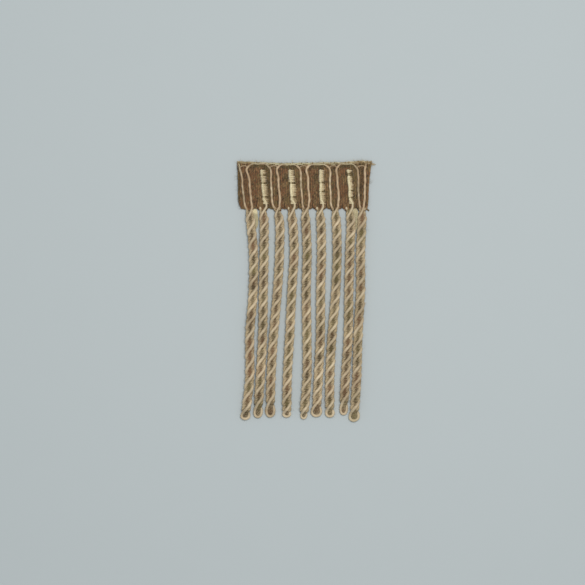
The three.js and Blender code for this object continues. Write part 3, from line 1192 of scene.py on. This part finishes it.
        # Painted shade: the strand is darker where the ribs nip it and where a dark thread draws it in.
        shade = self.light(y) - 0.3 * nip - 1.2 * deep + ripple(y, (0.15, 2.3, 0)) + draws.normal(0, 0.05)
        yarns.lay(joined(x, y, z), radius, 12, shade, -0.25)


@dataclass(frozen=True)
class Strand:
    """A yarn of a ply, by its distance out from the cord's middle and aside from the ply's."""

    out: float
    aside: float
    radius: float
    # painted light and shade by depth: the farther out a yarn lies in its ply, the lighter
    light: float = 0.0
    root_aside: float = 0.0  # how far from the root's middle it leaves the heading
    root_height: float = 0.0  # and how high over the surface
    is_gimp: bool = False


STRANDS = (
    Strand(1.78, 0.0, 0.8, is_gimp=True),
    Strand(0.45, 1.07, 0.62, 0.0, 0.45, 1.1),
    Strand(0.45, -1.07, 0.62, 0.0, 1.25, 1.2),
    Strand(0.6, 0.5, 0.55, 0.15, 0.85, 1.3),
    Strand(0.6, -0.5, 0.55, 0.15, 1.9, 1.4),
    Strand(0.95, 0.0, 0.55, 0.3, 1.5, 1.5),
)
FRAYED_STRANDS = 3  # how many of them have fibres
TEARDROP_PEAK = 0.77  # the greatest value of sin(a) * sin(a / 2)


@dataclass
class BullionCord:
    """A cord of two twisted plies that are one strand, folded back at the tip in a loop."""

    number: int
    places: Sequence[float]  # along the trim, at each of its heights and at its tip
    tip: float
    crossings: int  # how many times the plies cross
    crossed: Sequence[float]  # the heights of the counted crossings and of the last
    loop_half: float
    tone: float
    feet: tuple[Points, Points]  # two stations of each end of the gimp, from the top down
    top_tone: float  # the gimp's tone and shade on the heading
    top_shade: float
    heights: Sequence[float] = (47.4, 42.5, 25.0, 0.0, -25.0, -50.0)
    counted: Sequence[int] = (0, 4, 8)
    rest: float = 2.62  # height of its middle over the surface
    root_share: float = 0.6
    root_swell: float = 5.5
    root_tops: Sequence[float] = (49.7, 48.4)
    root_depth: float = 0.6
    twist_top: float = 45.0
    broad: float = 1.15
    spread: float = 1.86
    sunk: float = 0.75
    ply_in: float = 0.45
    ply_out: float = 1.78
    loop_heart: float = 0.5
    loop_flat: float = 0.6
    loop_rest: float = 1.4
    loop_gimp: float = 0.7
    loop_points: int = 45
    loop_clearance: float = 0.03
    clearance: float = 0.02
    step: float = 0.4
    fibres: int = 110

    def middle(self, y: Points | float) -> Points:
        """The cord's middle along the trim, by height."""
        return Course((*self.heights, self.tip), self.places)(y)

    def turn(self, y: Points) -> Points:
        """The angle of the first ply round the cord, which is in front where it is 0.

        Args:
            y: heights along the trim.

        Returns:
            The angle in radians at each height.
        """
        counts = np.array([*self.counted, self.crossings - 1], float)
        depths = -np.array(self.crossed)
        count = np.interp(-y, depths, counts)
        first = (depths[1] - depths[0]) / (counts[1] - counts[0])
        return -math.pi * np.where(-y < depths[0], (-y - depths[0]) / first, count)

    def twisted(self, strand: Strand, ply: int) -> Points:
        """The route of a strand down its ply, from the root to the last crossing.

        Args:
            strand: the strand.
            ply: 1 for the ply that is in front at the first crossing and -1 for the other.

        Returns:
            The points, from the top down.
        """
        y = np.arange(self.twist_top, self.crossed[-1], -self.step)
        y[-1] = self.crossed[-1]
        angle = self.turn(y)
        swell = np.clip((self.heights[0] - y) / self.root_swell, 0, 1)
        size = blend(self.root_share, 1.0, swell)
        aside = strand.aside * self.front * ply
        side = ply * (self.broad * strand.out * np.sin(angle) + aside * self.spread * np.cos(angle))
        over = ply * (strand.out * np.cos(angle) - aside * self.sunk * np.sin(angle))
        return joined(self.middle(y) + size * side, y, size * (self.rest + over))

    @property
    def front(self) -> int:
        """The ply that is in front at the last crossing, 1 or -1."""
        return 1 if self.crossings % 2 else -1

    def loop(self, strand: Strand) -> Points:
        """The route of a strand round the loop, from the front ply to the back one.

        Args:
            strand: the strand.

        Returns:
            The points between the two plies' last ones.
        """
        out = (strand.out - self.ply_in) / (self.ply_out - self.ply_in)
        half = blend(self.loop_heart, self.loop_half, out)
        last = self.crossed[-1]
        deep = last - (self.tip + self.loop_gimp) - (self.loop_half - half)
        angle = np.linspace(0, 2 * math.pi, self.loop_points)[1:-1]
        fold = np.minimum(angle, 2 * math.pi - angle) / math.pi
        quarter = -0.5 * math.pi * rise(fold, 0.0, 0.62)
        laid = rise(fold, 0.0, 0.7)
        y = last - deep * (1 - np.cos(angle)) / 2
        teardrop = np.sin(angle) * np.sin(angle / 2) / TEARDROP_PEAK
        x = self.middle(y) - half * teardrop + strand.aside * self.spread * np.cos(quarter)
        over = np.where(angle > math.pi, -strand.out, strand.out) * np.cos(quarter)
        under = blend(1.0, self.loop_flat, laid) * strand.aside * np.sin(quarter)
        z = blend(self.rest, self.loop_rest, laid) + over - under
        return joined(x, y, np.maximum(z, strand.radius + self.loop_clearance))

    def openness(self, route: Points) -> Points:
        """How much light reaches a brown yarn, painted into its shade: least in the cord's middle and the
        loop, most at its left rim.

        Args:
            route: the yarn's route.

        Returns:
            About -1 in the middle and 1 at the rim, for each point.
        """
        rightward = route[:, 0] - self.middle(route[:, 1])
        aside = np.abs(rightward)
        # Painted light at the rims: more on the left rim than on the right one.
        rim = np.where(rightward > 0, -0.3, 0.3) * rise(aside, 1.6, 0.8)
        lit = 2 * rise(aside, 0.35, 0.9) * (1 + rim) - 1
        return blend(lit, -0.7, rise(route[:, 1], self.crossed[-1], -2.0))

    def roots(self, strand: Strand) -> tuple[Points, Points]:
        """The two stations at which each end of a strand leaves the heading, left and right.

        Args:
            strand: the strand.

        Returns:
            The stations of the left end and of the right one, from the top down.
        """
        if strand.is_gimp:
            return self.feet
        left, right = (self.places[0] + side * strand.root_aside for side in (-1, 1))
        heights = (self.root_depth, strand.root_height)
        return joined(left, self.root_tops, heights), joined(right, self.root_tops, heights)

    def bridge(self, strand: Strand, start: Points, down: Points) -> Points:
        """Joins a strand's place on the heading to the top of its ply.

        Args:
            strand: the strand.
            start: the two stations at which it leaves the heading.
            down: its route down the ply.

        Returns:
            The points from the heading to just above the ply.
        """
        ahead = down[0] + (down[0] - down[3]) * 0.9
        middle = [(start[-1] + ahead) / 2] if strand.is_gimp else []
        return spline([*start, *middle, down[0]], self.step)[:-1]

    def route(self, strand: Strand) -> Points:
        """The whole route of a strand: down one ply, round the loop and up the other.

        Args:
            strand: the strand.

        Returns:
            The points in order.
        """
        down, up = self.twisted(strand, self.front), self.twisted(strand, -self.front)
        left, right = self.roots(strand)
        start, end = (left, right) if self.front == 1 else (right, left)
        head, tail = self.bridge(strand, start, down), self.bridge(strand, end, up)
        return np.concatenate([head, down, self.loop(strand), up[::-1], tail[::-1]])

    def piece(self, materials: Sequence[bpy.types.Material], draws: np.random.Generator) -> bpy.types.Object:
        """Lays the cord's gimp and yarns.

        Args:
            materials: gimp and brown yarn.
            draws: where the unevenness comes from.

        Returns:
            The cord.
        """
        yarns = YarnMesh()
        stations = np.arange(52.0, -80.0, -4.5)
        tones = self.tone + draws.normal(0, 0.55, len(stations))
        shades = draws.normal(0, 0.35, len(stations))
        for order, strand in enumerate(STRANDS):
            route = self.route(strand)
            y = route[:, 1]
            length = lengths(route)
            starts = draws.uniform(0, 6, 3)
            radius = strand.radius * (1 + ripple(length, (0.05, 0.8, starts[0]), (0.03, 2.3, starts[1])))
            shade = ripple(length, (0.2, 0.9, starts[1])) + draws.normal(0, 0.12)
            shade = shade + np.interp(-y, -stations, shades)
            tone = np.clip(np.interp(-y, -stations, tones) * (0.3 if strand.is_gimp else 1.0), -1, 1)
            if strand.is_gimp:
                on_heading = rise(y, 45.0, 3.5)
                tone = blend(tone, self.top_tone, on_heading)
                shade = blend(shade, self.top_shade, on_heading)
                radius = radius * (1 - 0.25 * rise(y, 41.0, 5.0))
            else:
                # Painted shade: the brown yarns are darker deep in the cord and in the loop and lighter at
                # its rims, deep yarns darker than outer ones, with a weaker tone where lit.
                openness = self.openness(route)
                shade = 0.8 * (shade + strand.light + openness) - 0.07
                tone = tone * (0.7 - 0.3 * openness)
            route[:, 2] = np.maximum(route[:, 2], radius + self.clearance)
            sides, slot = (10, 0) if strand.is_gimp else (7, 1)
            yarns.lay(route, radius, sides, shade, tone, slot)
            if order < FRAYED_STRANDS:
                self.fray(yarns, route, strand.radius, draws)
        return yarns.object(f"bullion_cord_{self.number}", materials)

    def fray(self, yarns: YarnMesh, route: Points, radius: float, draws: np.random.Generator) -> None:
        """Frays a strand with fibres that stand out from the cord's middle.

        Args:
            yarns: the mesh that they join.
            route: the strand's route.
            radius: the strand's radius.
            draws: where their places come from.
        """
        for row in draws.integers(20, len(route) - 20, self.fibres):
            out = route[row] - np.array([self.middle(route[row, 1]), route[row, 1], self.rest])
            out /= np.linalg.norm(out)
            way = out * draws.uniform(0.3, 1.3) + draws.normal(0.0, 0.3, 3) * np.array([1.0, 1.6, 0.6])
            yarns.fray(route[row] + out * radius * 0.8, way, draws, draws.normal(-0.3, 0.3))


@dataclass
class Studio:
    """The plain pale floor, the soft light from the upper right and the camera over the trim."""

    pixel: float = 0.577
    picture: int = 585
    centre_pixel: tuple[float, float] = (304.5, 291.3)
    lens: float = 200.0
    sensor: float = 36.0
    floor_size: float = 6.0
    floor_colour: Colour = (0.455, 0.5, 0.512, 1)
    floor_shade: float = 0.985
    key_size: float = 0.65
    key_energy: float = 11.8
    key_colour: tuple[float, float, float] = (1.0, 0.98, 0.95)
    key_place: tuple[float, float, float] = (0.15, 0.22, 1.24)
    room_colour: Colour = (0.92, 0.97, 1.0, 1)
    room_strength: float = 0.42

    def floor(self) -> None:
        """Lays the floor."""
        shader = Shader("pale_floor", Roughness=0.9, Specular_IOR_Level=0.2)
        grain = shader.noise(shader.node("TexCoord", {}, {}, "Object"), 40.0, 3.0)
        low = (*(self.floor_shade * part for part in self.floor_colour[:3]), 1.0)
        colour = shader.mix(grain, low, self.floor_colour)
        material = shader.finish(colour, grain, 0.00001, grain * 0.05 + 0.88)
        bpy.ops.object.select_all(action="DESELECT")
        bpy.ops.mesh.primitive_plane_add(size=self.floor_size, location=(0, 0, 0))
        floor = bpy.context.object
        floor.name = "floor"
        floor.data.materials.append(material)

    def lights(self) -> None:
        """Hangs the key light and sets the room's even light."""
        key = bpy.data.lights.new("key", "AREA")
        key.shape = "DISK"
        key.size = self.key_size
        key.energy = self.key_energy
        key.color = self.key_colour
        lamp = bpy.data.objects.new("key", key)
        lamp.location = self.key_place
        lamp.rotation_euler = (-Vector(self.key_place)).to_track_quat("-Z", "Y").to_euler()
        bpy.context.scene.collection.objects.link(lamp)
        world = bpy.data.worlds.new("room")
        world.use_nodes = True
        background = world.node_tree.nodes["Background"]
        background.inputs["Color"].default_value = self.room_colour
        background.inputs["Strength"].default_value = self.room_strength
        bpy.context.scene.world = world
        bpy.context.scene.view_settings.view_transform = "Standard"

    def camera(self) -> None:
        """Sets the camera straight above, so that the trim lies where it does in the photograph."""
        data = bpy.data.cameras.new("camera")
        data.lens = self.lens
        data.sensor_width = self.sensor
        data.clip_end = 50.0
        half = self.picture / 2
        aside = (half - self.centre_pixel[0]) * self.pixel * MM
        up = (self.centre_pixel[1] - half) * self.pixel * MM
        height = self.picture * self.pixel * MM * self.lens / self.sensor
        made = bpy.data.objects.new("camera", data)
        made.location = (aside, up, height)
        bpy.context.scene.collection.objects.link(made)
        bpy.context.scene.camera = made


@dataclass
class FringeTrim:
    """The whole trim: its heading, what lies on it, and its cords."""

    dyes: Dyes = field(default_factory=Dyes)
    seed: int = 26

    def cords(self, gimps: GimpLines) -> list[BullionCord]:
        """The nine cords, left to right.

        Args:
            gimps: the gimp lines, which run on into the odd cords.

        Returns:
            The cords.
        """
        # Each row: places, tip, crossings, crossed, loop_half, tone
        rows = (
            ((-31.8, -31.3, -29.6, -29.6, -31.5, -31.6, -34.4), -74.2, 14,
             (37.0, 6.7, -24.8, -67.9), 2.15, 0.1),
            ((-24.1, -23.5, -23.3, -23.7, -24.1, -25.5, -27.0), -73.1, 14,
             (38.1, 8.1, -23.2, -64.0), 2.0, 0.0),
            ((-15.8, -14.7, -14.3, -15.6, -17.8, -19.3, -19.8), -72.8, 14,
             (39.3, 8.7, -21.7, -62.6), 2.2, 0.2),
            ((-7.8, -7.1, -6.0, -7.3, -8.5, -9.9, -10.3), -72.8, 15, (37.7, 8.7, -21.7, -68.1), 1.8, 0.0),
            ((0.3, 0.6, 1.5, 1.0, 1.4, 1.4, -0.6), -73.7, 15, (38.2, 9.1, -20.9, -68.3), 1.3, -0.2),
            ((8.6, 9.2, 9.8, 9.3, 9.2, 8.0, 6.7), -72.5, 15, (38.5, 11.6, -19.2, -64.4), 2.6, 0.0),
            ((17.5, 18.1, 18.8, 18.0, 15.9, 14.6, 14.6), -72.8, 15, (38.7, 10.4, -21.8, -66.1), 2.0, -0.2),
            ((25.6, 26.5, 26.2, 25.6, 25.2, 23.6, 22.4), -71.4, 15, (38.4, 12.0, -18.0, -62.0), 1.75, 0.2),
            ((33.4, 33.2, 32.4, 32.3, 30.9, 30.1, 28.4), -75.2, 14, (38.0, 5.6, -29.5, -67.2), 2.5, -0.1),
        )
        made = []
        for i, row in enumerate(rows):
            root = row[0][0]
            if i % 2 == 0:
                feet = (gimps.foot(i // 2, right=False), gimps.foot(i // 2, right=True))
                top = (0.8, -0.5)
            else:
                feet = (joined(root - 1.4, (48.7, 47.9), (1.2, 2.1)), joined(root + 2.1, (50.1, 48.6), 2.5))
                top = (-0.2, 0.2)
            made.append(BullionCord(i + 1, *row, feet, *top))
        return made

    def columns(self, cords: Sequence[BullionCord]) -> list[Column]:
        """The four cream columns, left to right.

        Args:
            cords: the cords, of which every other one hangs from a column.

        Returns:
            The columns.
        """
        # Each row: places, pinches, tightness, lights, wrapped_above, wrap, reach
        rows = (
            ((-22.6, -23.4, -24.2), (66.9, 62.1, 54.4), (0.4, 1.0, 0.5), (0.2, -0.3, 0.3, 0.3),
             62.1, 1.4, 2.0),
            ((-6.8, -7.1, -8.0), (62.3, 54.4), (0.9, 0.4), (0.2, 0.8, 0.3), 62.3, 1.5, 2.1),
            ((10.1, 9.9, 9.7), (62.7, 57.4), (0.6, 0.6), (0.3, 0.7, 0.35), 62.7, 1.25, 2.0),
            ((26.9, 26.5, 25.7), (67.9, 66.8, 58.2, 53.9), (1.2, 1.1, 0.6, 0.8), (0.5, -0.6, 0.8, 0.7, 0.4),
             67.4, 1.3, 1.4),
        )
        hanging = [cord.feet[1][1, 0] for cord in cords[1::2]]
        return [Column(i + 1, *row, foot_x) for i, (row, foot_x) in enumerate(zip(rows, hanging))]

    def dress(self, piece: bpy.types.Object, node: str) -> None:
        """Fixes a piece to the part.

        Args:
            piece: the piece.
            node: the solid that it stands for.
        """
        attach(piece, BODY)
        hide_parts(node)
        log.info("%s: %d faces", piece.name, len(piece.data.polygons))

    def build(self) -> None:
        """Makes every piece in order."""
        draws = np.random.default_rng(self.seed)
        brown, core = self.dyes.brown.material(), self.dyes.core.material()
        gimp, cream = self.dyes.gimp.material(), self.dyes.cream.material()
        lines = GimpLines()
        cords = self.cords(lines)
        heading = Heading([cord.places[0] for cord in cords], [*HEADING_PATCHES, *lines.crown_shadows_and_link_patches()])
        cloth = heading.cloth(self.dyes.ground.material())
        weave = heading.weave([brown, cream], draws)
        self.dress(cloth, "heading")
        self.dress(weave, "heading")
        # The sheet is 2 mm taller than the heading's solid, for the tongues at the roots
        for name, piece in lines.pieces(gimp, draws).items():
            self.dress(piece, name)
        for column in self.columns(cords):
            self.dress(column.piece([cream, brown], draws), f"cream_column_{column.number}")
        for cord in cords:
            self.dress(cord.piece([gimp, core], draws), "bullion_fringe")


def main() -> None:
    """Builds the trim and its studio."""
    logging.basicConfig(level=logging.INFO, format="%(message)s")
    FringeTrim().build()
    studio = Studio()
    studio.floor()
    studio.lights()
    studio.camera()


if __name__ == "__main__":
    main()
